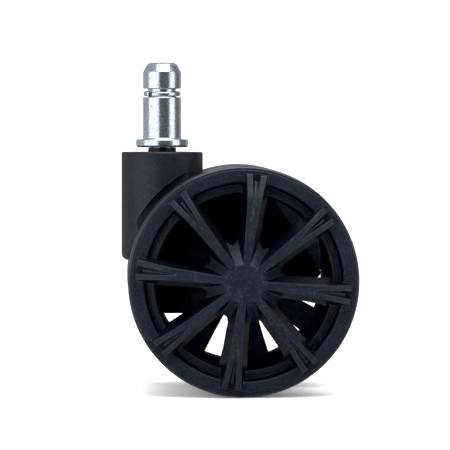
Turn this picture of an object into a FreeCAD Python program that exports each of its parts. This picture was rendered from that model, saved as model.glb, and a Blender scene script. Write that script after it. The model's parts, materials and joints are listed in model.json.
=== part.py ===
"""Twin-wheel swivel caster for an office chair, with an 11 mm grip-ring stem, in millimetres.

The origin is on the swivel axis, at the top face of the stem's flange. +Z points up the stem, +X points
from the swivel axis towards the wheels, and the axle lies along Y.
"""
import FreeCAD, Part

import math
import os

import Sketcher

Vector = FreeCAD.Vector
Rotation = FreeCAD.Rotation
Placement = FreeCAD.Placement

# Every driving dimension. Heights on the stem are measured from the flange's top face, outlines of the
# housing from the axle's centre, and positions on a wheel outwards from the caster's middle plane.
DIMS = {
    # stem and spindle
    "stem_radius": 5.5,
    "stem_top": 22.0,
    "dome_foot": 19.8,
    "dome_flat_radius": 3.5,
    "dome_round": 2.6,
    "ring_groove_low": 12.1,
    "ring_groove_high": 14.5,
    "ring_groove_radius": 4.0,
    "flange_radius": 7.5,
    "flange_inner_radius": 7.1,
    "flange_edge_high": -0.4,
    "flange_edge_low": -1.9,
    "flange_low": -2.3,
    "spindle_radius": 3.25,
    "spindle_tip_radius": 2.65,
    "spindle_tip": -29.0,
    "spindle_shoulder": -28.4,
    "clip_groove_low": -26.0,
    "clip_groove_high": -25.0,
    "clip_groove_radius": 2.5,
    # grip ring
    "grip_inner_radius": 4.15,
    "grip_outer_radius": 5.35,
    "grip_height": 1.4,
    "grip_middle": 13.1,
    "grip_opening_angle": 14.0,
    # stem clip
    "clip_inner_radius": 2.55,
    "clip_outer_radius": 4.6,
    "clip_height": 0.8,
    "clip_low": -25.9,
    "clip_opening_angle": 60.0,
    # bush and thrust disc
    "bush_radius": 6.0,
    "bush_bore_radius": 3.3,
    "bush_low": -24.9,
    "neck_radius": 4.0,
    "neck_top": -2.4,
    "disc_radius": 5.9,
    "disc_height": 1.9,
    "disc_low": -31.0,
    # housing barrel
    "barrel_radius": 11.7,
    "barrel_top": -3.6,
    "barrel_top_edge": -4.1,
    "barrel_top_radius": 11.2,
    "barrel_edge_round": 0.5,
    "barrel_low": -34.7,
    "barrel_low_edge": -32.7,
    "barrel_low_radius": 9.7,
    "barrel_low_round": 2.0,
    "socket_radius": 6.0,
    "socket_low": -31.0,
    # housing body between the wheels
    "axle_x": 22.5,
    "axle_z": -39.9,
    "body_half_width": 9.2,
    "body_width": 18.4,
    "wheel_clearance_radius": 34.45,
    "body_crown_radius": 29.0,
    "body_tail_x": -29.7,
    "body_tail_z": 5.2,
    "body_heel_x": -25.5,
    "body_heel_z": -9.7,
    "body_step_x": -14.5,
    "body_notch_x": -13.4,
    "body_notch_z": -7.3,
    "body_belly_x": -5.0,
    "body_belly_z": -5.4,
    "body_right_z": 0.4,
    "body_right_x": 6.5,
    "body_nose_x": 23.83,
    "crown_right_x": 5.66,
    "crown_right_z": 28.44,
    "crown_left_x": -14.0,
    "crown_left_z": 25.4,
    "body_corner_round": 1.5,
    "boss_radius": 7.5,
    # hollows in the housing body
    "web_half_thickness": 2.0,
    "web_thickness": 4.0,
    "web_low_x": 22.3,
    "web_low_z": 1.2,
    "web_high_x": 6.0,
    "web_high_z": 26.8,
    "web_edge_radius": 21.2,
    "hollow_left_x": -12.0,
    "hollow_left_top_z": 24.0,
    "hollow_left_low_z": 8.0,
    "hollow_top_x": 4.3,
    "hollow_top_z": 26.0,
    "hollow_nose_x": 19.6,
    "hollow_floor_z": 2.9,
    "hollow_floor_x": 3.0,
    "heel_hollow_x": -27.0,
    "heel_hollow_top_z": 2.4,
    "heel_hollow_low_x": -23.6,
    "heel_hollow_low_z": -7.0,
    "heel_hollow_right_x": -16.2,
    "heel_hollow_step_x": -14.8,
    "heel_hollow_step_z": -4.2,
    "heel_hollow_boss_x": -8.5,
    "heel_hollow_boss_z": -3.2,
    "heel_hollow_rib_x": -12.5,
    # axle and its rings
    "axle_radius": 4.0,
    "axle_half_length": 27.0,
    "axle_shoulder": 26.4,
    "axle_tip_radius": 3.4,
    "axle_groove_radius": 3.2,
    "axle_groove_low": 20.0,
    "axle_groove_high": 21.2,
    "axle_ring_low": 20.1,
    "axle_ring_height": 1.0,
    "axle_ring_inner_radius": 3.25,
    "axle_ring_outer_radius": 4.9,
    "axle_ring_opening_angle": 50.0,
    # washers
    "washer_inner_radius": 4.05,
    "washer_radius": 7.5,
    "washer_height": 0.8,
    # wheel
    "wheel_radius": 32.5,
    "hub_low": 10.1,
    "hub_radius": 9.0,
    "hub_flare": 23.0,
    "hub_bore_radius": 4.05,
    "hub_bore_depth": 20.2,
    "hub_groove_low": 19.8,
    "hub_groove_high": 21.4,
    "hub_groove_radius": 5.3,
    "dome_base": 25.0,
    "dome_core_top": 25.5,
    "dome_foot_radius": 11.3,
    "hub_edge_radius": 5.55,
    "hub_edge_z": 32.55,
    "hub_edge_round": 1.2,
    "hub_flat_radius": 4.6,
    "hub_top": 33.0,
    # spokes
    "spoke_count": 8,
    "spoke_base": 22.0,
    "spoke_root": 2.0,
    "spoke_bend": 18.3,
    "spoke_end": 30.4,
    "spoke_base_end": 29.9,
    "spoke_base_root_half": 3.7,
    "spoke_base_bend_half": 3.7,
    "spoke_base_end_half": 4.2,
    "spoke_top_root_half": 0.85,
    "spoke_top_bend_half": 1.78,
    "spoke_top_end_half": 3.02,
    "shoulder_start": 20.0,
    "shoulder_round": 12.0,
    "shoulder_end": 24.88,
    "shoulder_end_z": 31.96,
    "shoulder_far": 31.5,
    "shoulder_far_z": 29.01,
    "shoulder_clear_z": 34.0,
    "underside_inner": 8.0,
    "underside_outer": 24.4,
    "underside_low": 21.0,
    "spoke_cut_width": 12.0,
    "split_start": 17.5,
    "split_angle": 23.1,
    "split_length": 16.0,
    "split_tip_half": 0.12,
    "split_end_half": 1.3,
    "split_height": 8.0,
    "ridge_start": 3.0,
    "ridge_end": 11.9,
    "ridge_tip_half": 0.12,
    "ridge_end_half": 0.42,
    "ridge_height": 0.9,
    # rounded inner ends of the windows between the spokes
    "window_end_across": 10.16,
    "window_end_up": 4.21,
    "window_end_round": 1.4,
    "window_end_top": 28.5,
    "window_end_depth": 8.0,
    # rim
    "rim_low": 10.0,
    "rim_inner_radius": 28.3,
    "flange_rim_radius": 31.5,
    "tread_seat_radius": 30.7,
    "tread_seat_low": 11.2,
    "tread_seat_high": 25.6,
    "ring_face": 27.5,
    "ring_edge_z": 27.2,
    "ring_edge_radius": 31.2,
    "ring_edge_round": 0.3,
    "ring_inner_flat_radius": 28.9,
    "ring_inner_round": 0.5,
    "ring_inner_radius": 28.4,
    "ring_inner_edge_z": 27.0,
    "channel_outer_radius": 28.2,
    "channel_z": 24.1,
    "channel_inner_radius": 27.3,
    "ledge_outer_radius": 27.1,
    "ledge_outer_z": 25.1,
    "ledge_step_radius": 26.0,
    "ledge_step_high": 24.6,
    "ledge_step_low": 24.3,
    "ledge_inner_radius": 24.9,
    "ledge_inner_z": 23.6,
    "window_radius": 24.4,
    "window_z": 22.0,
    "ledge_back_z": 20.8,
    # tread
    "tread_low": 10.1,
    "tread_low_edge": 11.3,
    "tread_high_edge": 25.9,
    "tread_high": 27.3,
    "tread_low_inner": 31.6,
    "tread_shoulder_round": 1.35,
    # angles in degrees: the first spokes from +X, and how the loose grip ring lies in its groove
    "front_spin": 38.1,
    "back_spin": 32.5,
    "grip_tilt": 2.5,
    "grip_opening_direction": 226.0,
}

doc = FreeCAD.newDocument("caster")
sheet = doc.addObject("Spreadsheet::Sheet", "dims")
for row, (alias, size) in enumerate(DIMS.items(), start=1):
    sheet.set(f"A{row}", str(size))
    sheet.setAlias(f"A{row}", alias)
doc.recompute()


def number(term):
    """The value of a term: an alias of the sheet, '-' and an alias, or '0'."""
    if term == "0":
        return 0.0
    return -DIMS[term[1:]] if term[0] == "-" else DIMS[term]


def formula(term):
    """The same term as an expression on the sheet."""
    return f"-dims.{term[1:]}" if term[0] == "-" else f"dims.{term}"


def new_body(label):
    body = doc.addObject("PartDesign::Body", label)
    body.Label = label
    return body


def new_sketch(body, name, role, offset=None):
    """An empty sketch on one of the body's origin planes, moved by offset if there is one."""
    plane = next(part for part in body.Origin.OriginFeatures if part.Role == role)
    sketch = body.newObject("Sketcher::SketchObject", name)
    sketch.AttachmentSupport = [(plane, "")]
    sketch.MapMode = "FlatFace"
    if offset is not None:
        sketch.AttachmentOffset = offset
    return sketch


def pin_point(sketch, edge, end, across, up):
    """Ties one end of an edge to the sketch's axes, or to distances from them held in the sheet."""
    for kind, axis, term in (("DistanceX", -2, across), ("DistanceY", -1, up)):
        if term == "0":
            sketch.addConstraint(Sketcher.Constraint("PointOnObject", edge, end, axis))
            continue
        tie = sketch.addConstraint(Sketcher.Constraint(kind, -1, 1, edge, end, number(term)))
        sketch.setExpression(f"Constraints[{tie}]", formula(term))


def arc_between(start, finish, radius, turn):
    """The short arc from start to finish; turn is 1 where it runs anticlockwise and -1 where clockwise."""
    middle = (start + finish) / 2
    chord = finish - start
    reach = math.sqrt(radius**2 - (chord.Length / 2) ** 2)
    sideways = Vector(-chord.y, chord.x, 0) / chord.Length
    centre = middle + sideways * (reach * turn)
    first, last = (start, finish) if turn == 1 else (finish, start)
    begin = math.atan2(first.y - centre.y, first.x - centre.x)
    stop = math.atan2(last.y - centre.y, last.x - centre.x)
    circle = Part.Circle(centre, Vector(0, 0, 1), radius)
    return Part.ArcOfCircle(circle, begin, stop)


def outline(body, name, role, corners, offset=None):
    """A closed outline. A corner is (across, up), or (across, up, radius, turn) where an arc leaves it."""
    sketch = new_sketch(body, name, role, offset)
    points = [Vector(number(corner[0]), number(corner[1]), 0) for corner in corners]
    ends = []
    for index, corner in enumerate(corners):
        start, finish = points[index], points[(index + 1) % len(points)]
        if len(corner) == 2:
            sketch.addGeometry(Part.LineSegment(start, finish))
            ends.append((1, 2))
            continue
        radius, turn = corner[2], corner[3]
        sketch.addGeometry(arc_between(start, finish, number(radius), turn))
        ends.append((1, 2) if turn == 1 else (2, 1))
        tie = sketch.addConstraint(Sketcher.Constraint("Radius", index, number(radius)))
        sketch.setExpression(f"Constraints[{tie}]", formula(radius))
    for index, corner in enumerate(corners):
        follower = (index + 1) % len(corners)
        join = Sketcher.Constraint("Coincident", index, ends[index][1], follower, ends[follower][0])
        sketch.addConstraint(join)
        pin_point(sketch, index, ends[index][0], corner[0], corner[1])
    return sketch


def disc_sketch(body, name, role, radius, across="0", up="0", offset=None):
    sketch = new_sketch(body, name, role, offset)
    centre = Vector(number(across), number(up), 0)
    sketch.addGeometry(Part.Circle(centre, Vector(0, 0, 1), number(radius)))
    tie = sketch.addConstraint(Sketcher.Constraint("Radius", 0, number(radius)))
    sketch.setExpression(f"Constraints[{tie}]", formula(radius))
    if across == "0" and up == "0":
        sketch.addConstraint(Sketcher.Constraint("Coincident", 0, 3, -1, 1))
    else:
        pin_point(sketch, 0, 3, across, up)
    return sketch


def turned(body, name, sketch, kind="PartDesign::Revolution"):
    """Turns an outline about the body's Z axis, as a solid or, with the kind Groove, as a cut."""
    feature = body.newObject(kind, name)
    feature.Profile = (sketch, [""])
    feature.ReferenceAxis = (sketch, ["V_Axis"])
    feature.Angle = 360
    return feature


def straight(body, name, sketch, kind, length, both_sides=False, reverse=False):
    """A Pad or Pocket whose length is a cell of the sheet."""
    feature = body.newObject(kind, name)
    feature.Profile = (sketch, [""])
    feature.setExpression("Length", formula(length))
    if both_sides:
        feature.SideType = "Symmetric"
    feature.Reversed = reverse
    return feature


def split_ring(label, inner, outer, height, opening, placement):
    """A flat open ring on z = 0, whose opening is centred on its own +X axis."""
    solid = []
    for radius in (outer, inner):
        disc = doc.addObject("Part::Cylinder", f"{label}_{radius}")
        disc.setExpression("Radius", formula(radius))
        disc.setExpression("Height", formula(height))
        disc.setExpression("Angle", f"360 - dims.{opening}")
        solid.append(disc)
    ring = doc.addObject("Part::Cut", label)
    ring.Label = label
    ring.Base, ring.Tool = solid
    turn = Rotation(Vector(0, 0, 1), DIMS[opening] / 2)
    ring.Placement = placement * Placement(Vector(0, 0, 0), turn)
    return ring


def make_stem():
    body = new_body("stem")
    corners = [
        ("0", "spindle_tip"),
        ("spindle_tip_radius", "spindle_tip"),
        ("spindle_radius", "spindle_shoulder"),
        ("spindle_radius", "clip_groove_low"),
        ("clip_groove_radius", "clip_groove_low"),
        ("clip_groove_radius", "clip_groove_high"),
        ("spindle_radius", "clip_groove_high"),
        ("spindle_radius", "flange_low"),
        ("flange_inner_radius", "flange_low"),
        ("flange_radius", "flange_edge_low"),
        ("flange_radius", "flange_edge_high"),
        ("flange_inner_radius", "0"),
        ("stem_radius", "0"),
        ("stem_radius", "ring_groove_low"),
        ("ring_groove_radius", "ring_groove_low"),
        ("ring_groove_radius", "ring_groove_high"),
        ("stem_radius", "ring_groove_high"),
        ("stem_radius", "dome_foot", "dome_round", 1),
        ("dome_flat_radius", "stem_top"),
        ("0", "stem_top"),
    ]
    turned(body, "stem_turning", outline(body, "stem_outline", "XZ_Plane", corners))
    return body


def make_bush():
    body = new_body("stem_bush")
    corners = [
        ("bush_bore_radius", "bush_low"),
        ("bush_radius", "bush_low"),
        ("bush_radius", "barrel_top"),
        ("neck_radius", "barrel_top"),
        ("neck_radius", "neck_top"),
        ("bush_bore_radius", "neck_top"),
    ]
    turned(body, "bush_turning", outline(body, "bush_outline", "XZ_Plane", corners))
    return body


def make_thrust_disc():
    disc = doc.addObject("Part::Cylinder", "thrust_disc")
    disc.Label = "thrust_disc"
    disc.setExpression("Radius", "dims.disc_radius")
    disc.setExpression("Height", "dims.disc_height")
    disc.Placement = Placement(Vector(0, 0, DIMS["disc_low"]), Rotation())
    return disc


def edges_across(shape, length):
    """Names of the straight edges along Y that are as long as the housing body is wide."""
    names = []
    for index, edge in enumerate(shape.Edges, start=1):
        run = edge.Vertexes[-1].Point - edge.Vertexes[0].Point
        if abs(abs(run.y) - length) < 0.01 and math.hypot(run.x, run.z) < 0.01:
            names.append(f"Edge{index}")
    return names


def make_housing():
    """The barrel and the hollowed body between the wheels. Its own origin is the axle's centre."""
    body = new_body("housing")
    to_axle = Placement(Vector(-DIMS["axle_x"], 0, -DIMS["axle_z"]), Rotation())
    barrel_corners = [
        ("0", "barrel_low"),
        ("barrel_low_radius", "barrel_low", "barrel_low_round", 1),
        ("barrel_radius", "barrel_low_edge"),
        ("barrel_radius", "barrel_top_edge", "barrel_edge_round", 1),
        ("barrel_top_radius", "barrel_top"),
        ("0", "barrel_top"),
    ]
    flat = Placement(Vector(-DIMS["axle_x"], -DIMS["axle_z"], 0), Rotation())
    barrel = outline(body, "barrel_outline", "XZ_Plane", barrel_corners, flat)
    turned(body, "barrel", barrel)

    for side in (1, -1):
        aside = Placement(Vector(0, 0, side * DIMS["body_half_width"]), Rotation())
        disc = disc_sketch(body, "clearance_disc", "XZ_Plane", "wheel_clearance_radius", offset=aside)
        straight(body, "wheel_clearance", disc, "PartDesign::Pocket", "body_width", reverse=side == 1)

    body_corners = [
        ("body_tail_x", "body_tail_z"),
        ("body_heel_x", "body_heel_z"),
        ("body_step_x", "body_heel_z"),
        ("body_notch_x", "body_notch_z"),
        ("body_belly_x", "body_belly_z"),
        ("body_right_x", "body_right_z"),
        ("body_nose_x", "body_right_z"),
        ("crown_right_x", "crown_right_z", "body_crown_radius", 1),
        ("crown_left_x", "crown_left_z"),
        ("body_tail_x", "crown_left_z"),
    ]
    side_view = outline(body, "body_outline", "XZ_Plane", body_corners)
    pad = straight(body, "body_pad", side_view, "PartDesign::Pad", "body_width", both_sides=True)
    doc.recompute()
    rounds = body.newObject("PartDesign::Fillet", "body_rounds")
    rounds.Base = (pad, edges_across(pad.Shape, DIMS["body_width"]))
    rounds.setExpression("Radius", "dims.body_corner_round")

    web_corners = [
        ("web_low_x", "web_low_z", "web_edge_radius", 1),
        ("web_high_x", "web_high_z"),
    ]
    web_edge = outline(body, "web_edge_outline", "XZ_Plane", web_corners)
    straight(body, "web_edge", web_edge, "PartDesign::Pad", "web_thickness", both_sides=True)

    hollow_corners = [
        ("hollow_left_x", "hollow_left_low_z"),
        ("hollow_floor_x", "hollow_floor_z"),
        ("hollow_nose_x", "hollow_floor_z"),
        ("hollow_top_x", "hollow_top_z"),
        ("hollow_left_x", "hollow_left_top_z"),
    ]
    heel_corners = [
        ("heel_hollow_x", "heel_hollow_top_z"),
        ("heel_hollow_low_x", "heel_hollow_low_z"),
        ("heel_hollow_right_x", "heel_hollow_low_z"),
        ("heel_hollow_step_x", "heel_hollow_step_z"),
        ("heel_hollow_boss_x", "heel_hollow_boss_z"),
        ("heel_hollow_rib_x", "heel_hollow_top_z"),
    ]
    for side in (1, -1):
        aside = Placement(Vector(0, 0, side * DIMS["web_half_thickness"]), Rotation())
        for name, corners in (("hollow", hollow_corners), ("heel_hollow", heel_corners)):
            sketch = outline(body, f"{name}_outline", "XZ_Plane", corners, aside)
            straight(body, name, sketch, "PartDesign::Pocket", "body_width", reverse=side == 1)

    boss = disc_sketch(body, "boss_disc", "XZ_Plane", "boss_radius")
    straight(body, "boss", boss, "PartDesign::Pad", "body_width", both_sides=True)
    bore = disc_sketch(body, "axle_bore_disc", "XZ_Plane", "axle_radius")
    straight(body, "axle_bore", bore, "PartDesign::Pocket", "body_width", both_sides=True)
    socket_corners = [
        ("0", "socket_low"),
        ("socket_radius", "socket_low"),
        ("socket_radius", "barrel_top"),
        ("0", "barrel_top"),
    ]
    socket = outline(body, "socket_outline", "XZ_Plane", socket_corners, flat)
    turned(body, "socket", socket, "PartDesign::Groove")
    body.Placement = to_axle.inverse()
    return body


def make_axle(placement):
    body = new_body("axle")
    half = [
        ("axle_tip_radius", "axle_half_length"),
        ("axle_radius", "axle_shoulder"),
        ("axle_radius", "axle_groove_high"),
        ("axle_groove_radius", "axle_groove_high"),
        ("axle_groove_radius", "axle_groove_low"),
        ("axle_radius", "axle_groove_low"),
    ]
    mirrored = [(across, f"-{up}") for across, up in reversed(half)]
    corners = [("0", "axle_half_length"), *half, *mirrored, ("0", "-axle_half_length")]
    turned(body, "axle_turning", outline(body, "axle_outline", "XZ_Plane", corners))
    body.Placement = placement
    return body


def make_washer(label, placement):
    cylinders = []
    for radius in ("washer_radius", "washer_inner_radius"):
        disc = doc.addObject("Part::Cylinder", f"{label}_{radius}")
        disc.setExpression("Radius", formula(radius))
        disc.setExpression("Height", "dims.washer_height")
        cylinders.append(disc)
    washer = doc.addObject("Part::Cut", label)
    washer.Label = label
    washer.Base, washer.Tool = cylinders
    washer.Placement = placement * Placement(Vector(0, 0, DIMS["body_half_width"]), Rotation())
    return washer


def make_spokes(body):
    """One split spoke along +X, then a pattern of eight. The hub's dome is already in the body."""
    base_corners = [
        ("spoke_root", "-spoke_base_root_half"),
        ("spoke_bend", "-spoke_base_bend_half"),
        ("spoke_base_end", "-spoke_base_end_half"),
        ("spoke_base_end", "spoke_base_end_half"),
        ("spoke_bend", "spoke_base_bend_half"),
        ("spoke_root", "spoke_base_root_half"),
    ]
    top_corners = [
        ("spoke_root", "-spoke_top_root_half"),
        ("spoke_bend", "-spoke_top_bend_half"),
        ("spoke_end", "-spoke_top_end_half"),
        ("spoke_end", "spoke_top_end_half"),
        ("spoke_bend", "spoke_top_bend_half"),
        ("spoke_root", "spoke_top_root_half"),
    ]
    low = Placement(Vector(0, 0, DIMS["spoke_base"]), Rotation())
    high = Placement(Vector(0, 0, DIMS["hub_top"]), Rotation())
    base = outline(body, "spoke_base_outline", "XY_Plane", base_corners, low)
    top = outline(body, "spoke_top_outline", "XY_Plane", top_corners, high)
    loft = body.newObject("PartDesign::AdditiveLoft", "spoke")
    loft.Profile = (base, [""])
    loft.Sections = [(top, [""])]
    loft.Ruled = True

    shoulder_corners = [
        ("shoulder_start", "hub_top", "shoulder_round", -1),
        ("shoulder_end", "shoulder_end_z"),
        ("shoulder_far", "shoulder_far_z"),
        ("shoulder_far", "shoulder_clear_z"),
        ("shoulder_start", "shoulder_clear_z"),
    ]
    underside_corners = [
        ("underside_inner", "underside_low"),
        ("underside_outer", "underside_low"),
        ("underside_outer", "window_z"),
        ("dome_foot_radius", "dome_base"),
        ("underside_inner", "dome_base"),
    ]
    cuts = []
    for name, corners in (("shoulder", shoulder_corners), ("underside", underside_corners)):
        sketch = outline(body, f"{name}_outline", "XZ_Plane", corners)
        cut = straight(
            body, f"spoke_{name}", sketch, "PartDesign::Pocket", "spoke_cut_width", both_sides=True
        )
        cuts.append(cut)

    slope = Rotation(Vector(0, 1, 0), DIMS["split_angle"])
    tilted = Placement(Vector(DIMS["split_start"], 0, DIMS["hub_top"]), slope)
    split_corners = [
        ("0", "-split_tip_half"),
        ("split_length", "-split_end_half"),
        ("split_length", "split_end_half"),
        ("0", "split_tip_half"),
    ]
    ridge_corners = [
        ("ridge_start", "-ridge_tip_half"),
        ("ridge_end", "-ridge_end_half"),
        ("ridge_end", "ridge_end_half"),
        ("ridge_start", "ridge_tip_half"),
    ]
    split_plan = outline(body, "split_outline", "XY_Plane", split_corners, tilted)
    split = straight(body, "split", split_plan, "PartDesign::Pocket", "split_height", reverse=True)
    ridge_plan = outline(body, "ridge_outline", "XY_Plane", ridge_corners, tilted)
    ridge = straight(body, "ridge", ridge_plan, "PartDesign::Pad", "ridge_height")

    round_the_hub(body, "spoke_pattern", [loft, *cuts, split, ridge], base)


def round_the_hub(body, name, features, sketch):
    """Repeats the features once for each spoke, about the normal of the sketch's plane."""
    pattern = body.newObject("PartDesign::PolarPattern", name)
    pattern.Originals = features
    pattern.Axis = (sketch, ["N_Axis"])
    pattern.Angle = 360
    pattern.setExpression("Occurrences", "dims.spoke_count")
    body.Tip = pattern


def make_window_ends(body):
    """Hollows the dome's foot between the spokes, so that each window ends in a half round."""
    high = Placement(Vector(0, 0, DIMS["window_end_top"]), Rotation())
    end = disc_sketch(
        body, "window_end_disc", "XY_Plane", "window_end_round", "window_end_across", "window_end_up", high
    )
    cut = straight(body, "window_end", end, "PartDesign::Pocket", "window_end_depth")
    round_the_hub(body, "window_end_pattern", [cut], end)


def make_wheel(label, placement):
    """A wheel body, modelled with its axis on Z and its spoked face up."""
    body = new_body(label)
    dome_corners = [
        ("0", "dome_base"),
        ("dome_foot_radius", "dome_base"),
        ("hub_edge_radius", "hub_edge_z", "hub_edge_round", 1),
        ("hub_flat_radius", "hub_top"),
        ("0", "hub_top"),
    ]
    turned(body, "hub_dome", outline(body, "hub_dome_outline", "XZ_Plane", dome_corners))
    make_spokes(body)
    hub_corners = [
        ("0", "hub_low"),
        ("hub_radius", "hub_low"),
        ("hub_radius", "hub_flare"),
        ("dome_foot_radius", "dome_base"),
        ("0", "dome_core_top"),
    ]
    turned(body, "hub_tube", outline(body, "hub_tube_outline", "XZ_Plane", hub_corners))
    make_window_ends(body)
    rim_corners = [
        ("rim_inner_radius", "rim_low"),
        ("flange_rim_radius", "rim_low"),
        ("flange_rim_radius", "tread_seat_low"),
        ("tread_seat_radius", "tread_seat_low"),
        ("tread_seat_radius", "tread_seat_high"),
        ("flange_rim_radius", "tread_seat_high"),
        ("flange_rim_radius", "ring_edge_z", "ring_edge_round", 1),
        ("ring_edge_radius", "ring_face"),
        ("ring_inner_flat_radius", "ring_face", "ring_inner_round", 1),
        ("ring_inner_radius", "ring_inner_edge_z"),
        ("channel_outer_radius", "channel_z"),
        ("channel_inner_radius", "channel_z"),
        ("ledge_outer_radius", "ledge_outer_z"),
        ("ledge_step_radius", "ledge_step_high"),
        ("ledge_step_radius", "ledge_step_low"),
        ("ledge_inner_radius", "ledge_inner_z"),
        ("window_radius", "window_z"),
        ("ledge_inner_radius", "ledge_back_z"),
        ("rim_inner_radius", "ledge_back_z"),
    ]
    turned(body, "rim", outline(body, "rim_outline", "XZ_Plane", rim_corners))
    low = Placement(Vector(0, 0, DIMS["hub_low"]), Rotation())
    bore = disc_sketch(body, "hub_bore_disc", "XY_Plane", "hub_bore_radius", offset=low)
    straight(body, "hub_bore", bore, "PartDesign::Pocket", "hub_bore_depth", reverse=True)
    groove_corners = [
        ("axle_tip_radius", "hub_groove_low"),
        ("hub_groove_radius", "hub_groove_low"),
        ("hub_groove_radius", "hub_groove_high"),
        ("axle_tip_radius", "hub_groove_high"),
    ]
    groove = outline(body, "hub_groove_outline", "XZ_Plane", groove_corners)
    turned(body, "hub_groove", groove, "PartDesign::Groove")
    body.Placement = placement
    return body


def make_tread(label, placement):
    body = new_body(label)
    corners = [
        ("tread_seat_radius", "tread_seat_low"),
        ("flange_rim_radius", "tread_seat_low"),
        ("flange_rim_radius", "tread_low"),
        ("tread_low_inner", "tread_low", "tread_shoulder_round", 1),
        ("wheel_radius", "tread_low_edge"),
        ("wheel_radius", "tread_high_edge", "tread_shoulder_round", 1),
        ("tread_low_inner", "tread_high"),
        ("flange_rim_radius", "tread_high"),
        ("flange_rim_radius", "tread_seat_high"),
        ("tread_seat_radius", "tread_seat_high"),
    ]
    turned(body, "tread_turning", outline(body, "tread_outline", "XZ_Plane", corners))
    body.Placement = placement
    return body


def side_frame(outward, spin=0.0):
    """At the axle's centre, with Z pointing out of the front (-Y) or back (+Y) side."""
    to_side = Rotation(Vector(1, 0, 0), -90 * outward)
    spun = Rotation(Vector(0, 0, 1), spin)
    return Placement(Vector(DIMS["axle_x"], 0, DIMS["axle_z"]), to_side * spun)


def make_all():
    askew = Rotation(Vector(1, 0, 0), DIMS["grip_tilt"])
    grip_turn = askew * Rotation(Vector(0, 0, 1), DIMS["grip_opening_direction"])
    grip_middle = Placement(Vector(0, 0, DIMS["grip_middle"]), grip_turn)
    grip = grip_middle * Placement(Vector(0, 0, -DIMS["grip_height"] / 2), Rotation())
    clip = Placement(Vector(0, 0, DIMS["clip_low"]), Rotation())
    nodes = [
        make_stem(),
        split_ring(
            "grip_ring", "grip_inner_radius", "grip_outer_radius", "grip_height",
            "grip_opening_angle", grip,
        ),
        split_ring(
            "stem_clip", "clip_inner_radius", "clip_outer_radius", "clip_height",
            "clip_opening_angle", clip,
        ),
        make_bush(),
        make_thrust_disc(),
        make_housing(),
        make_axle(side_frame(-1)),
    ]
    for side, outward in (("front", -1), ("back", 1)):
        flat = side_frame(outward)
        ring_seat = flat * Placement(Vector(0, 0, DIMS["axle_ring_low"]), Rotation())
        nodes += [
            make_wheel(f"{side}_wheel", side_frame(outward, DIMS[f"{side}_spin"])),
            make_tread(f"{side}_tread", flat),
            make_washer(f"{side}_washer", flat),
            split_ring(
                f"{side}_axle_ring", "axle_ring_inner_radius", "axle_ring_outer_radius",
                "axle_ring_height", "axle_ring_opening_angle", ring_seat,
            ),
        ]
    return nodes


def write(nodes):
    """Checks every object and every sub-part, then writes one STEP file for each sub-part."""
    doc.recompute()
    failed = [item.Name for item in doc.Objects if {"Invalid", "Error"} & set(item.State)]
    if failed:
        raise RuntimeError(f"objects that failed: {failed}")
    for node in nodes:
        if node.Shape.isNull() or not node.Shape.isValid() or len(node.Shape.Solids) != 1:
            raise RuntimeError(f"{node.Label} isn't one valid solid")
    os.makedirs("parts", exist_ok=True)
    for node in nodes:
        node.Shape.exportStep(f"parts/{node.Label}.step")
        print(f"{node.Label:18s} {node.Shape.Volume:10.1f} mm3")


write(make_all())
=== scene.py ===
"""Looks for the twin-wheel chair caster: finer pieces and procedural materials around the CAD frame."""
import json
import math

import bmesh
import bpy
import numpy as np
from mathutils import Matrix, Vector


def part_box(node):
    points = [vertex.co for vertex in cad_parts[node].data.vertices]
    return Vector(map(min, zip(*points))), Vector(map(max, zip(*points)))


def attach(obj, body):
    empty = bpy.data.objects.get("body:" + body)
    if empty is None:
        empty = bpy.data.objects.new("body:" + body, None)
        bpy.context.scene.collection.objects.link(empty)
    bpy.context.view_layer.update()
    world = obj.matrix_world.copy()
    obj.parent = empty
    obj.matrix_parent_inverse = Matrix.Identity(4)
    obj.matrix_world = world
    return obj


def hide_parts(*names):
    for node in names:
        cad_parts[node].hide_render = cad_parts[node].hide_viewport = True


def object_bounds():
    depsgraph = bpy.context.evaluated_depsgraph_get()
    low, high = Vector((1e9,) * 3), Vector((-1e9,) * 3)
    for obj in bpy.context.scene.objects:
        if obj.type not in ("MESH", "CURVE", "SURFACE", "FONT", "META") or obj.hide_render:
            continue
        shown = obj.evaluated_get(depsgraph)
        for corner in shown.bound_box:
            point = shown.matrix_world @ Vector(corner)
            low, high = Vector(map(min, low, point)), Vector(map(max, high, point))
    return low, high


MM = 0.001
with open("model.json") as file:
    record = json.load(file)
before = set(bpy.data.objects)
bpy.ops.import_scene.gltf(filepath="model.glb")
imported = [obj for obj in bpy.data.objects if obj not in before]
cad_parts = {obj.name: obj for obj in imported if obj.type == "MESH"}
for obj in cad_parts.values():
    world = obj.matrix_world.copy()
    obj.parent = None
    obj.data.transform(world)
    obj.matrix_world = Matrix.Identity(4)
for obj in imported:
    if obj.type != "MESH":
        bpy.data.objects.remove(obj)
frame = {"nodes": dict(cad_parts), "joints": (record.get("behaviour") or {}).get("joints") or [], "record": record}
CAD_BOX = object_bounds()
NODES = frame["nodes"]
JOINTS = {joint["name"]: joint for joint in frame["joints"]}
AXLE = Vector(JOINTS["front_wheel_roll"]["pos_m"])
AXLE.y = 0.0
TREAD_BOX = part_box("front_tread")
WHEEL_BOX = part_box("front_wheel")
WHEEL_RADIUS = (TREAD_BOX[1].x - TREAD_BOX[0].x) / 2 / MM
HUB_TOP = -WHEEL_BOX[0].y / MM  # outwards from the middle plane, as every height on a wheel is
FLOOR_Z = AXLE.z - WHEEL_RADIUS * MM

# ---------------------------------------------------------------------------------------- mesh tools


def mesh_object(name, vertices, faces):
    mesh = bpy.data.meshes.new(name)
    mesh.from_pydata([tuple(v) for v in vertices], [], faces)
    thing = bpy.data.objects.new(name, mesh)
    bpy.context.scene.collection.objects.link(thing)
    tidy_mesh(mesh)
    return thing


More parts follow.
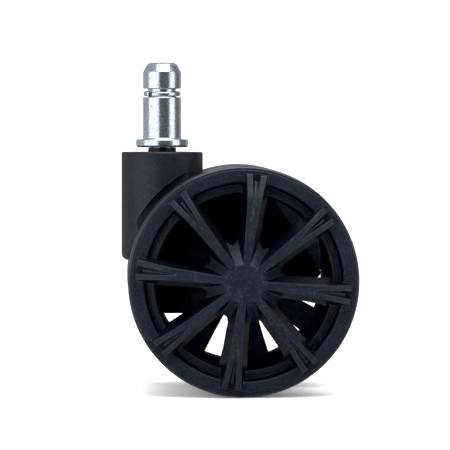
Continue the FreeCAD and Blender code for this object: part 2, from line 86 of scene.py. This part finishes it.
def tidy_mesh(mesh):
    """Welds doubled points, drops faces with no area and turns every normal outwards."""
    work = bmesh.new()
    work.from_mesh(mesh)
    bmesh.ops.remove_doubles(work, verts=work.verts, dist=1e-7)
    bmesh.ops.dissolve_degenerate(work, edges=work.edges, dist=1e-8)
    bmesh.ops.recalc_face_normals(work, faces=work.faces)
    work.to_mesh(mesh)
    work.free()


def shade(thing, sharp_degrees=35.0):
    for polygon in thing.data.polygons:
        polygon.use_smooth = True
    thing.data.set_sharp_from_angle(angle=math.radians(sharp_degrees))


def rounded(corners, steps=4):
    """A closed outline from corners (a, b) or (a, b, radius), with an arc of that radius at each."""
    points = []
    count = len(corners)
    for index, corner in enumerate(corners):
        here = Vector(corner[:2])
        radius = corner[2] if len(corner) > 2 else 0.0
        back = (Vector(corners[index - 1][:2]) - here).normalized()
        ahead = (Vector(corners[(index + 1) % count][:2]) - here).normalized()
        if radius == 0.0:
            points.append(tuple(here))
            continue
        angle = back.angle(ahead)
        reach = radius / math.tan(angle / 2)
        centre = here + (back + ahead).normalized() * (radius / math.sin(angle / 2))
        first = here + back * reach - centre
        turn = first.angle_signed(here + ahead * reach - centre)
        for step in range(steps + 1):
            points.append(tuple(centre + Matrix.Rotation(-turn * step / steps, 2) @ first))
    return points


def lathe(name, outline, segments=256):
    """Turns a closed outline of (radius, height) in millimetres about Z, as a closed mesh in metres."""
    vertices, faces = [], []
    for turn in range(segments):
        angle = 2 * math.pi * turn / segments
        across = Vector((math.cos(angle), math.sin(angle), 0))
        for radius, height in outline:
            vertices.append((across * radius + Vector((0, 0, height))) * MM)
    count = len(outline)
    for turn in range(segments):
        this, following = turn * count, (turn + 1) % segments * count
        for index in range(count):
            after = (index + 1) % count
            faces.append((this + index, following + index, following + after, this + after))
    return mesh_object(name, vertices, faces)


def loft(name, sections):
    """Joins closed sections of equal count, in millimetres, into a closed mesh in metres."""
    count = len(sections[0])
    vertices = [Vector(point) * MM for section in sections for point in section]
    faces = []
    for level in range(len(sections) - 1):
        low, high = level * count, (level + 1) * count
        for index in range(count):
            after = (index + 1) % count
            faces.append((low + index, low + after, high + after, high + index))
    faces.append(tuple(reversed(range(count))))
    faces.append(tuple(range((len(sections) - 1) * count, len(sections) * count)))
    return mesh_object(name, vertices, faces)


def joined(thing, others, operation="UNION"):
    """Joins or cuts the other closed meshes with the first, and removes them."""
    for other in others:
        cut = thing.modifiers.new(operation, "BOOLEAN")
        cut.operation = operation
        cut.solver = "MANIFOLD"
        cut.object = other
    bpy.context.view_layer.update()
    depsgraph = bpy.context.evaluated_depsgraph_get()
    mesh = bpy.data.meshes.new_from_object(thing.evaluated_get(depsgraph))
    thing.modifiers.clear()
    thing.data = mesh
    for other in others:
        bpy.data.objects.remove(other)
    tidy_mesh(mesh)
    return thing


def placed(thing, matrix):
    thing.data.transform(matrix)
    return thing


def finish_piece(piece, body, slot, material, *replaced):
    shade(piece)
    even = piece.modifiers.new("even_normals", "WEIGHTED_NORMAL")
    even.keep_sharp = True
    piece.data.materials.clear()
    piece.data.materials.append(material)
    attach(piece, body)
    if replaced:
        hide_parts(*replaced)
    return piece


# ---------------------------------------------------------------------------------------- materials


class Nodes:
    """A material's nodes, made and linked by name."""

    def __init__(self, name):
        self.material = bpy.data.materials.new(name)
        self.material.use_nodes = True
        self.tree = self.material.node_tree
        self.shader = self.tree.nodes["Principled BSDF"]
        self.place = self.add("ShaderNodeTexCoord").outputs["Object"]

    def add(self, kind, inputs=None, **settings):
        node = self.tree.nodes.new(kind)
        for key, value in settings.items():
            setattr(node, key, value)
        for key, value in (inputs or {}).items():
            if isinstance(value, bpy.types.NodeSocket):
                self.tree.links.new(value, node.inputs[key])
            else:
                node.inputs[key].default_value = value
        return node

    def noise(self, size_mm, detail=3.0, roughness=0.5, place=None):
        """Noise whose patches are about size_mm across, from 0 to 1."""
        inputs = {"Vector": place or self.place, "Scale": 1 / (size_mm * MM)}
        inputs.update({"Detail": detail, "Roughness": roughness})
        return self.add("ShaderNodeTexNoise", inputs).outputs["Fac"]

    def mapped(self, value, low, high, start=0.3, stop=0.7):
        inputs = {"Value": value, "From Min": start, "From Max": stop, "To Min": low, "To Max": high}
        return self.add("ShaderNodeMapRange", inputs).outputs["Result"]

    def mixed(self, factor, first, second, blend="MIX"):
        node = self.add("ShaderNodeMix", data_type="RGBA", blend_type=blend)
        for socket, value in ((node.inputs[0], factor), (node.inputs[6], first), (node.inputs[7], second)):
            if isinstance(value, bpy.types.NodeSocket):
                self.tree.links.new(value, socket)
            else:
                socket.default_value = value
        return node.outputs[2]

    def maths(self, operation, first, second):
        node = self.add("ShaderNodeMath", operation=operation)
        for socket, value in zip(node.inputs, (first, second)):
            if isinstance(value, bpy.types.NodeSocket):
                self.tree.links.new(value, socket)
            else:
                socket.default_value = value
        return node.outputs[0]

    def bump(self, height, distance_mm, strength=1.0, under=None):
        inputs = {"Height": height, "Distance": distance_mm * MM, "Strength": strength}
        if under is not None:
            inputs["Normal"] = under
        return self.add("ShaderNodeBump", inputs).outputs["Normal"]

    def edge_wear_and_highlight(self, reach_mm):
        """From 0 on a flat face to 1 on a rounded edge, which gets wear and a painted highlight."""
        rounded_normal = self.add("ShaderNodeBevel", {"Radius": reach_mm * MM}, samples=6).outputs["Normal"]
        face_normal = self.add("ShaderNodeNewGeometry").outputs["Normal"]
        both = self.add("ShaderNodeVectorMath", {0: rounded_normal, 1: face_normal}, operation="DOT_PRODUCT")
        return self.mapped(both.outputs["Value"], 1.0, 0.0, 0.78, 0.98)

    def painted_shade_facing(self):
        """From 1 on faces across the axle to 0 on side faces that run along it, at any turn of the wheel: the mask
        for painted shade.
        """
        normal = self.add("ShaderNodeTexCoord").outputs["Normal"]
        along_axle = self.add("ShaderNodeSeparateXYZ", {"Vector": normal}).outputs["Y"]
        return self.mapped(self.maths("ABSOLUTE", along_axle, 0.0), 0.0, 1.0, 0.30, 0.62)

    def wire(self, socket, value):
        self.tree.links.new(value, self.shader.inputs[socket])

    def fix(self, socket, value):
        self.shader.inputs[socket].default_value = value


def moulded(name, dark, light, roughness, grain_mm, grain_depth_mm, specular=0.5, painted_wall_shade=None):
    """Spark-textured moulded nylon: fine grain, soft colour drift, worn edges with a painted highlight and shinier
    high spots.

    Side faces that run along the axle get painted shade: the last argument is how light they are beside the dark
    colour."""
    n = Nodes(name)
    grain = n.noise(grain_mm, 2.0)
    drift = n.noise(9.0, 4.0)
    fleck = n.noise(grain_mm * 1.3, 1.0, 0.4)
    mottle = n.noise(1.1, 2.0, 0.6)
    shade_of = n.maths("ADD", n.mapped(drift, 0.0, 0.4), n.mapped(mottle, 0.0, 0.6))
    colour = n.mixed(shade_of, (*dark, 1.0), (*light, 1.0))
    fleck_colour = (*[c * 2.4 for c in light], 1.0)
    flecked = n.mixed(n.mapped(fleck, 0.0, 0.6, 0.54, 0.72), colour, fleck_colour)
    if painted_wall_shade is not None:
        # painted shade: side faces along the axle are darkened to a share of the dark colour
        flecked = n.mixed(n.painted_shade_facing(), (*[c * painted_wall_shade for c in dark], 1.0), flecked)
    # edges lighter: wear and a painted highlight
    edge_colour = (*[c * 5.0 for c in light], 1.0)
    n.wire("Base Color", n.mixed(n.edge_wear_and_highlight(0.35), flecked, edge_colour))
    worn = n.mapped(grain, roughness + 0.07, roughness - 0.07)
    n.wire("Roughness", n.maths("ADD", worn, n.mapped(mottle, -0.05, 0.05)))
    n.wire("Normal", n.bump(grain, grain_depth_mm))
    n.fix("Specular IOR Level", specular)
    return n.material


def zinc(name, base, tint, roughness):
    """Bright zinc plating on turned steel: faint turning lines, a crystalline fleck and a cool tint."""
    n = Nodes(name)
    split = n.add("ShaderNodeSeparateXYZ", {"Vector": n.place})
    height = n.add("ShaderNodeCombineXYZ", {"Z": split.outputs["Z"]}).outputs["Vector"]
    lines = n.noise(0.16, 2.0, 0.6, height)
    fleck = n.noise(0.35, 3.0, 0.65)
    cloud = n.noise(3.5, 3.0)
    plating = n.mixed(n.mapped(cloud, 0.0, 1.0), (*base, 1.0), (*tint, 1.0))
    speck = n.mapped(n.noise(0.55, 2.0, 0.6), 0.0, 0.55, 0.48, 0.66)
    n.wire("Base Color", n.mixed(speck, plating, (*[c * 0.55 for c in tint], 1.0)))
    rough = n.maths("ADD", n.mapped(fleck, -0.08, 0.10), n.mapped(cloud, roughness - 0.03, roughness + 0.04))
    n.wire("Roughness", rough)
    turned = n.bump(lines, 0.004, 0.5)
    n.wire("Normal", n.bump(fleck, 0.022, 0.8, turned))
    n.fix("Metallic", 1.0)
    return n.material


def smooth_tread(name, dark, light):
    """Cast polyurethane: smooth and satin, with faint clouding and a few fine scuffs along the roll."""
    n = Nodes(name)
    cloud = n.noise(6.0, 4.0)
    scuff = n.noise(0.5, 4.0, 0.7)
    n.wire("Base Color", n.mixed(n.mapped(cloud, 0.0, 1.0), (*dark, 1.0), (*light, 1.0)))
    n.wire("Roughness", n.maths("ADD", n.mapped(cloud, 0.26, 0.32), n.mapped(scuff, 0.0, 0.08, 0.5, 0.75)))
    n.wire("Normal", n.bump(scuff, 0.02, 0.5))
    n.fix("Specular IOR Level", 0.44)
    return n.material


WHEEL_PLASTIC = moulded(
    "wheel_plastic",
    dark=(0.0072, 0.0092, 0.0148),
    light=(0.0128, 0.0158, 0.0245),
    roughness=0.36,
    grain_mm=0.40,
    grain_depth_mm=0.05,
    specular=0.17,
    # painted shade on the wheel's side faces, at this share of the dark colour
    painted_wall_shade=0.55,
)
HOUSING_PLASTIC = moulded(
    "housing_plastic",
    dark=(0.0062, 0.0082, 0.0132),
    light=(0.0112, 0.0140, 0.0212),
    roughness=0.42,
    grain_mm=0.36,
    grain_depth_mm=0.04,
    specular=0.28,
)
BLACK_NYLON = moulded(
    "black_nylon",
    dark=(0.005, 0.005, 0.006),
    light=(0.008, 0.008, 0.009),
    roughness=0.42,
    grain_mm=0.6,
    grain_depth_mm=0.01,
)
TREAD = smooth_tread("tread_urethane", dark=(0.0118, 0.0138, 0.0200), light=(0.0155, 0.0180, 0.0255))
ZINC = zinc("zinc_steel", base=(0.80, 0.86, 0.92), tint=(0.66, 0.77, 0.88), roughness=0.20)
SPRING = zinc("spring_steel", base=(0.76, 0.82, 0.87), tint=(0.64, 0.73, 0.82), roughness=0.22)
PLAIN_STEEL = zinc("plain_steel", base=(0.56, 0.56, 0.57), tint=(0.48, 0.48, 0.49), roughness=0.30)
SLOT_MATERIALS = {
    "wheel_plastic": WHEEL_PLASTIC,
    "housing_plastic": HOUSING_PLASTIC,
    "black_nylon": BLACK_NYLON,
    "tread_urethane": TREAD,
    "zinc_steel": ZINC,
    "spring_steel": SPRING,
    "plain_steel": PLAIN_STEEL,
}
for part in frame["record"]["subparts"]:
    surface = NODES[part["node"]].data
    surface.materials.clear()
    surface.materials.append(SLOT_MATERIALS[part["material_slot"]])

# ---------------------------------------------------------------------------------------- wheels

# Radii, and heights outwards from the middle plane, in millimetres.
SPOKES = 8
SPINS = {"front": 38.1, "back": 32.5}  # degrees from +X to each wheel's first spoke
HUB_FLAT = HUB_TOP - 0.02  # the spokes' tops, a hair below the hub's so that the two never lie in one plane
SHOULDER_START, SHOULDER_END, SHOULDER_ARC = 20.0, 24.88, 12.0
SHOULDER_SLOPE = 0.4456  # the fall per millimetre from the shoulder to the end
END_START, END_ROUND = 30.0, 0.4
SPLIT_START = 19.2
SPLIT_SLOPE = math.tan(math.radians(33.0))
SPLIT_FLOOR = 27.47  # just under the rim's face, where the split levels out
RIDGE_START, RIDGE_END = 20.3, 28.4
FOOT_LEVEL, TIP_LEVEL = 22.0, 33.0  # the heights at which a spoke's base and tip widths are given
TREAD_SEAT, TREAD_CHANNEL = 31.5, 30.7  # radii of the rim's outside and of the channel that keys the tread
CHANNEL_INNER, CHANNEL_OUTER = 11.2, 25.6


def between(r, *stops):
    """The value at r on a line through (r, value) stops."""
    return float(np.interp(r, [stop[0] for stop in stops], [stop[1] for stop in stops]))


def spoke_top(r):
    """Level as far as the shoulder, an arc over it, then a straight fall and a small round at the end."""
    fall = 0.0
    if r > SHOULDER_START:
        over = min(r, SHOULDER_END) - SHOULDER_START
        fall = SHOULDER_ARC - math.sqrt(SHOULDER_ARC**2 - over**2)
        fall += max(0.0, r - SHOULDER_END) * SHOULDER_SLOPE
    end = max(0.0, r - END_START)
    return HUB_FLAT - fall - (END_ROUND - math.sqrt(max(0.0, END_ROUND**2 - end**2)))


def spoke_section(r):
    """The spoke's outline (across, outwards) at radius r, with its split and the ridge in the split."""
    top = spoke_top(r)
    foot = between(r, (12.0, 25.0), (24.4, 22.0))
    base_half = between(r, (2.0, 3.85), (18.3, 3.75), (29.9, 4.25))
    tip_half = between(r, (2.0, 0.85), (18.3, 1.66), (30.4, 2.32))
    along = max(0.0, r - SPLIT_START)
    split_depth = max(0.004, top - max(SPLIT_FLOOR, HUB_TOP - along * SPLIT_SLOPE))
    split_half = 0.08 + along * 0.100
    ridge_half = min(0.12 + 0.029 * max(0.0, r - RIDGE_START), split_half * 0.5)
    ridge_height = 0.68 * split_depth if RIDGE_START < r < RIDGE_END else 0.002
    edge_round = min(0.12, split_depth * 0.45)
    ridge_top = top - split_depth + min(ridge_height, split_depth * 0.9)

    def half(z):
        return base_half + (tip_half - base_half) * (z - FOOT_LEVEL) / (TIP_LEVEL - FOOT_LEVEL)

    right = [
        (half(foot), foot),
        (half(top), top, 0.28),
        (split_half, top, edge_round),
        (split_half, top - split_depth),
        (ridge_half, top - split_depth),
        (ridge_half, ridge_top, min(0.08, ridge_height * 0.4)),
    ]
    left = [(-corner[0], *corner[1:]) for corner in reversed(right)]
    return rounded(right + left, 4)


def make_spoke(angle):
    """Lofts a spoke outwards, with sections closer where its split or ridge begins or ends."""
    radii = [3.0, 12.0, 15.0, 18.3, SPLIT_START, 19.6, 20.0, RIDGE_START - 0.02, RIDGE_START + 0.02]
    radii += [21.0 + 0.5 * step for step in range(9)]
    radii += [26.0, 27.0, RIDGE_END - 0.02, RIDGE_END + 0.02, 29.9, 30.1, 30.2, 30.3, 30.37, 30.4]
    turn = Matrix.Rotation(angle, 3, "Z")
    sections = [[turn @ Vector((r, across, out)) for across, out in spoke_section(r)] for r in radii]
    return loft("spoke", sections)


def make_wheel_core():
    """Rim, split spokes and hub as one moulding, its axis on Z and its spoked face up."""
    rim = [
        (28.3, 10.0, 0.2), (TREAD_SEAT, 10.0, 0.1),
        (TREAD_SEAT, CHANNEL_INNER), (TREAD_CHANNEL, CHANNEL_INNER),
        (TREAD_CHANNEL, CHANNEL_OUTER), (TREAD_SEAT, CHANNEL_OUTER),
        (TREAD_SEAT, 27.5, 0.3), (28.1, 27.5, 0.8),
        (27.45, 25.4, 0.3), (27.35, 24.5, 0.1), (27.15, 24.35, 0.1), (26.9, 24.6, 0.15), (25.1, 25.05, 0.4),
        (24.7, 23.6, 0.3), (24.4, 22.0, 0.2), (24.9, 20.8), (28.3, 20.8, 0.3),
    ]
    bore, snap_groove = 4.05, 5.3
    hub = [
        (0.0, 30.3), (bore, 30.3, 0.3), (bore, 21.4), (snap_groove, 21.4), (snap_groove, 19.8), (bore, 19.8),
        (bore, 10.1, 0.2), (9.0, 10.1, 0.3), (9.0, 23.0, 0.6), (12.0, 25.0, 0.2), (5.3, HUB_TOP, 1.2),
        (0.0, HUB_TOP),
    ]
    end_radius, end_centre = 1.4, 12.2
    core = lathe("wheel_core", rounded(rim, 4))
    spokes = [make_spoke(2 * math.pi * index / SPOKES) for index in range(SPOKES)]
    joined(core, [lathe("hub", rounded(hub, 4)), *spokes])
    ends = []
    for index in range(SPOKES):
        end = lathe("window_end", [(0.0, 20.5), (end_radius, 20.5), (end_radius, 28.5), (0.0, 28.5)], 48)
        aside = Matrix.Rotation(2 * math.pi * (index + 0.5) / SPOKES, 4, "Z")
        ends.append(placed(end, aside @ Matrix.Translation((end_centre * MM, 0, 0))))
    return joined(core, ends, "DIFFERENCE")


def side_matrix(side, spin=0.0):
    """From a wheel's own axes, with Z outwards, to its place on the axle."""
    to_side = Matrix.Rotation(math.radians(90 if side == "front" else -90), 4, "X")
    return Matrix.Translation(AXLE) @ to_side @ Matrix.Rotation(math.radians(spin), 4, "Z")


def make_wheels():
    tread = [
        (TREAD_CHANNEL, CHANNEL_INNER), (TREAD_SEAT, CHANNEL_INNER), (TREAD_SEAT, 10.1),
        (WHEEL_RADIUS, 10.1, 0.95), (WHEEL_RADIUS, 27.3, 0.75),
        (TREAD_SEAT, 27.3), (TREAD_SEAT, CHANNEL_OUTER), (TREAD_CHANNEL, CHANNEL_OUTER),
    ]
    first = make_wheel_core()
    second = first.copy()
    second.data = first.data.copy()
    bpy.context.scene.collection.objects.link(second)
    for side, core in (("front", first), ("back", second)):
        core.name = f"{side}_wheel_moulding"
        placed(core, side_matrix(side, SPINS[side]))
        finish_piece(core, f"{side}_wheel", "wheel_plastic", WHEEL_PLASTIC, f"{side}_wheel")
        ring = placed(lathe(f"{side}_tread_ring", rounded(tread, 8)), side_matrix(side))
        finish_piece(ring, f"{side}_wheel", "tread_urethane", TREAD, f"{side}_tread")


# ---------------------------------------------------------------------------------------- stem


def make_stem():
    """From the foot up: spindle with its clip groove, flange, shank with its ring groove, and dome."""
    spindle, clip_groove, flange, shank, ring_groove = 3.25, 2.5, 7.5, 5.5, 4.0
    flange_under, stem_top = -2.3, 22.0
    turned = [
        (0.0, -29.0), (2.65, -29.0), (spindle, -28.4), (spindle, -26.0), (clip_groove, -26.0),
        (clip_groove, -25.0), (spindle, -25.0), (spindle, flange_under), (flange, flange_under, 0.7),
        (flange, 0.0, 0.3), (shank, 0.0, 0.5), (shank, 12.1, 0.25), (ring_groove, 12.1, 0.2),
        (ring_groove, 14.5, 0.2), (shank, 14.5, 0.25), (shank, 19.3, 1.2), (4.4, 21.4, 0.9),
        (3.5, stem_top, 0.3), (0.0, stem_top),
    ]
    stem = lathe("turned_stem", rounded(turned, 8))
    finish_piece(stem, "stem", "zinc_steel", ZINC, "stem")


def make_grip_ring():
    """A split ring of rounded wire, lying a little askew in the stem's groove."""
    middle, half_width, half_height = 4.75, 0.6, 0.7
    inner, outer = middle - half_width, middle + half_width
    corners = [(inner, -half_height), (outer, -half_height), (outer, half_height), (inner, half_height)]
    wire = rounded([(*corner, 0.45) for corner in corners], 5)
    opening = math.radians(14.0)
    opening_faces = math.radians(226.0)
    tilt = math.radians(2.5)
    height = 13.1 * MM
    steps = 160
    tip_scales = (0.7, 0.92, 1.0)  # the wire's size at its end, one step in, and from there on
    sections = []
    for step in range(steps + 1):
        turn = Matrix.Rotation(opening / 2 + (2 * math.pi - opening) * step / steps, 3, "Z")
        scale = tip_scales[min(step, steps - step, 2)]
        sections.append([turn @ Vector((middle + (r - middle) * scale, 0, z * scale)) for r, z in wire])
    askew = Matrix.Rotation(tilt, 4, "X") @ Matrix.Rotation(opening_faces, 4, "Z")
    ring = placed(loft("grip_wire", sections), Matrix.Translation((0, 0, height)) @ askew)
    finish_piece(ring, "stem", "spring_steel", SPRING, "grip_ring")


def soften_housing():
    """Rounds the moulding's sharp edges, once its flat faces are free of inner edges."""
    housing = NODES["housing"]
    flat = housing.modifiers.new("flats", "DECIMATE")
    flat.decimate_type = "DISSOLVE"
    flat.angle_limit = math.radians(1.0)
    rounds = housing.modifiers.new("rounds", "BEVEL")
    rounds.limit_method = "ANGLE"
    rounds.angle_limit = math.radians(40)
    rounds.width = 0.25 * MM
    rounds.segments = 2


make_wheels()
make_stem()
make_grip_ring()
soften_housing()

# ---------------------------------------------------------------------------------------- studio


def studio_material(name, colour, near_glow=0.0, far_glow=0.0):
    """Matt paper or cloth. Glowing paper is painted light: its glow is dim near the caster's foot, which paints
    shadow there, and brighter further out.
    """
    n = Nodes(name)
    soft = n.noise(120.0, 2.0)
    low = (*[c * 0.985 for c in colour], 1.0)
    n.wire("Base Color", n.mixed(n.mapped(soft, 0.0, 1.0), low, (*colour, 1.0)))
    n.fix("Roughness", 0.9)
    if far_glow > 0.0:
        foot = (AXLE.x, 0.0, 0.0)
        shadow_shape = (1.0, 0.3, 1.0)  # the wheels' shadows lie along the axle, so that way counts less
        place = n.add("ShaderNodeVectorMath", {0: n.place, 1: shadow_shape}, operation="MULTIPLY")
        inputs = {0: place.outputs["Vector"], 1: foot}
        away = n.add("ShaderNodeVectorMath", inputs, operation="DISTANCE").outputs["Value"]
        n.fix("Emission Color", (1.0, 1.0, 1.0, 1.0))
        horizon_glow = n.mapped(away, 0.0, 0.34, 0.25, 1.0)
        # painted shadow: the glow is dim close to the caster's foot
        foot_glow = n.mapped(away, near_glow, far_glow, 0.008, 0.030)
        n.wire("Emission Strength", n.maths("ADD", foot_glow, horizon_glow))
    return n.material


def make_backdrop():
    """A round pale floor that rises into a low wall all round, so it is behind the caster in any view."""
    floor_radius, bend, wall_height, thickness = 1500.0, 400.0, 700.0, 20.0
    bend_steps = 16
    inside, outside = [(0.0, 0.0)], [(0.0, -thickness)]
    for step in range(bend_steps + 1):
        angle = math.pi / 2 * step / bend_steps
        across, up = math.sin(angle), 1 - math.cos(angle)
        inside.append((floor_radius + bend * across, bend * up))
        outside.append((floor_radius + (bend + thickness) * across, (bend + thickness) * up - thickness))
    rim = [(floor_radius + bend, wall_height), (floor_radius + bend + thickness, wall_height)]
    dish = lathe("studio_floor", inside + rim + outside[::-1], 128)
    dish.location.z = FLOOR_Z
    shade(dish, 60)
    paper = studio_material("studio_paper", colour=(0.93, 0.93, 0.93), near_glow=0.06, far_glow=0.44)
    dish.data.materials.append(paper)
    dish.visible_glossy = False


def area_light(name, place, target, size, power, colour=(1.0, 1.0, 1.0)):
    lamp = bpy.data.lights.new(name, "AREA")
    lamp.shape = "RECTANGLE"
    lamp.size, lamp.size_y = size
    lamp.energy = power
    lamp.color = colour
    thing = bpy.data.objects.new(name, lamp)
    bpy.context.scene.collection.objects.link(thing)
    face_towards(thing, place, target)


def face_towards(thing, place, target):
    thing.location = place
    thing.rotation_mode = "QUATERNION"
    thing.rotation_quaternion = (Vector(target) - Vector(place)).to_track_quat("-Z", "Y")


def around(azimuth, elevation, distance, centre):
    """A point round the object: azimuth 0 is the camera's side (-Y) and 90 is +X."""
    a, e = math.radians(azimuth), math.radians(elevation)
    aside = Vector((math.sin(a) * math.cos(e), -math.cos(a) * math.cos(e), math.sin(e)))
    return Vector(centre) + aside * distance


def make_flag(name, azimuths, elevations, distance, centre, grey):
    """A matt card that shows dark in reflections. The camera doesn't see it, and it casts no shadow."""
    half_width = distance * math.tan(math.radians(azimuths[1] - azimuths[0]) / 2)
    low, high = (distance * math.tan(math.radians(elevation)) for elevation in elevations)
    corners = [(-half_width, low), (half_width, low), (half_width, high), (-half_width, high)]
    flag = mesh_object(name, [(x, y, 0) for x, y in corners], [(0, 1, 2, 3)])
    face_towards(flag, around(sum(azimuths) / 2, 0, distance, centre), centre)
    flag.data.materials.append(studio_material(f"{name}_cloth", (grey, grey, grey)))
    flag.visible_camera = False
    flag.visible_shadow = False


def make_lights():
    """Dim surroundings, dark cards in front and at the right, a panel on each side and a lamp above.

    The panels make the stem's two bright stripes, and the front card the dark band between them."""
    centre = (CAD_BOX[0] + CAD_BOX[1]) / 2
    make_flag("front_flag", azimuths=(-22, 43), elevations=(-30, 36), distance=0.75, centre=centre, grey=0.05)
    make_flag("right_flag", azimuths=(80, 128), elevations=(-20, 48), distance=0.55, centre=centre, grey=0.08)
    area_light("left_panel", around(-54, 5, 0.7, centre), centre, size=(0.875, 0.7), power=1.9)
    area_light("right_panel", around(62, 5, 0.7, centre), centre, size=(0.45, 0.7), power=0.95)
    cool_white = (0.95, 0.975, 1.0)
    area_light("key", around(12, 72, 0.8, centre), centre, size=(0.8, 0.8), power=11.0, colour=cool_white)
    world = bpy.data.worlds.new("studio_air")
    world.use_nodes = True
    sky = world.node_tree.nodes["Background"]
    sky.inputs["Color"].default_value = (0.97, 0.985, 1.0, 1.0)
    sky.inputs["Strength"].default_value = 0.40
    bpy.context.scene.world = world


def make_camera():
    """Stands about a metre off, a little left of the stem and above its flange, and looks slightly down."""
    eye_from_axle = Vector((-36.8, -996.5, 44.7)) * MM
    aim_from_axle = Vector((-4.42, 0.0, 15.22)) * MM
    eye = AXLE + eye_from_axle
    aim = AXLE + aim_from_axle
    lens = bpy.data.cameras.new("camera")
    lens.sensor_width = 36.0
    lens.lens = 277.2
    lens.clip_start, lens.clip_end = 0.05, 20.0
    camera = bpy.data.objects.new("camera", lens)
    bpy.context.scene.collection.objects.link(camera)
    camera.location = eye
    camera.rotation_mode = "QUATERNION"
    camera.rotation_quaternion = (aim - eye).to_track_quat("-Z", "Y")
    bpy.context.scene.camera = camera


make_backdrop()
make_lights()
make_camera()
grading = bpy.context.scene.view_settings
grading.view_transform = "Standard"
grading.use_curve_mapping = True
grading.curve_mapping.black_level = (0.0035, 0.0035, 0.003)
grading.curve_mapping.update()
